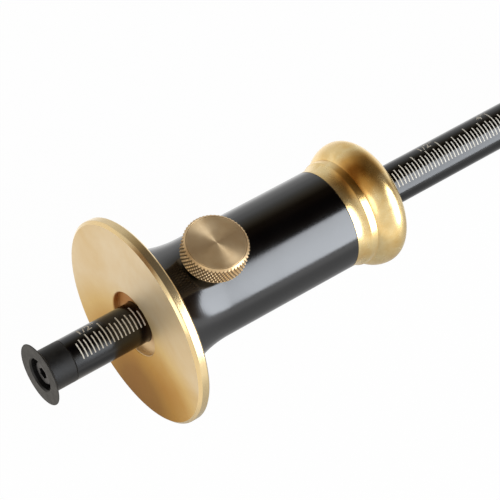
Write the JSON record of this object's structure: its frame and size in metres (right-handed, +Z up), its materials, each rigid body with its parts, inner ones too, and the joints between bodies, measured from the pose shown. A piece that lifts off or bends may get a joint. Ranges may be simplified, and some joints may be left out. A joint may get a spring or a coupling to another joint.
{
  "type": "wheel marking gauge",
  "caption": "Wheel marking gauge: a graduated black rod with a cutting wheel slides in a black barrel with a brass fence disc, brass end cap and knurled thumbscrew.",
  "frame": {"origin": "middle of the bottom of the whole gauge, under the rod, on the flat that the fence disc's rim rests on", "axes": "+X along the rod from the cutting wheel to its rear end, +Z up along the thumbscrew's axis from the rod"},
  "size_m": [0.19, 0.0394, 0.0393],
  "materials": {
    "brass": "satin turned brass",
    "black_barrel": "glossy black anodised",
    "black_rod": "glossy black with pale engraved marks",
    "hardened_steel": "matt black oxide",
    "plain_steel": "plain turned",
    "rubber": "matt"
  },
  "bodies": {
    "head": {"fence_disc": "brass", "barrel": "black_barrel", "end_cap": "brass", "thread_insert": "plain_steel"},
    "friction_rings": {"front_friction_ring": "rubber", "rear_friction_ring": "rubber"},
    "rod": {"graduated_rod": "black_rod", "wheel_screw": "hardened_steel"},
    "wheel": {"cutting_wheel": "hardened_steel"},
    "shoe": {"clamp_shoe": "brass"},
    "knob": {"thumbscrew": "brass"}
  },
  "joints": [
    {"name": "rod_turn", "type": "hinge", "parent": "head", "child": "friction_rings", "pos_m": [-0.07552, 0, 0.01965], "axis": [1, 0, 0], "continuous": true},
    {"name": "rod_slide", "type": "slide", "parent": "friction_rings", "child": "rod", "axis": [1, 0, 0], "range_m": [-0.1075, 0.0195]},
    {"name": "wheel_turn", "type": "hinge", "parent": "rod", "child": "wheel", "pos_m": [-0.09233, 0, 0.01965], "axis": [1, 0, 0], "continuous": true},
    {"name": "lock_travel", "type": "slide", "parent": "head", "child": "shoe", "axis": [0, 0, 1], "range_m": [0, 0.0016]},
    {"name": "knob_turn", "type": "hinge", "parent": "shoe", "child": "knob", "pos_m": [-0.06026, 0, 0.03225], "axis": [0, 0, 1], "range_deg": [0, 720]}
  ],
  "couplings": [
    {"joint": "knob_turn", "follows": "lock_travel", "rad_per_m": 7854}
  ]
}
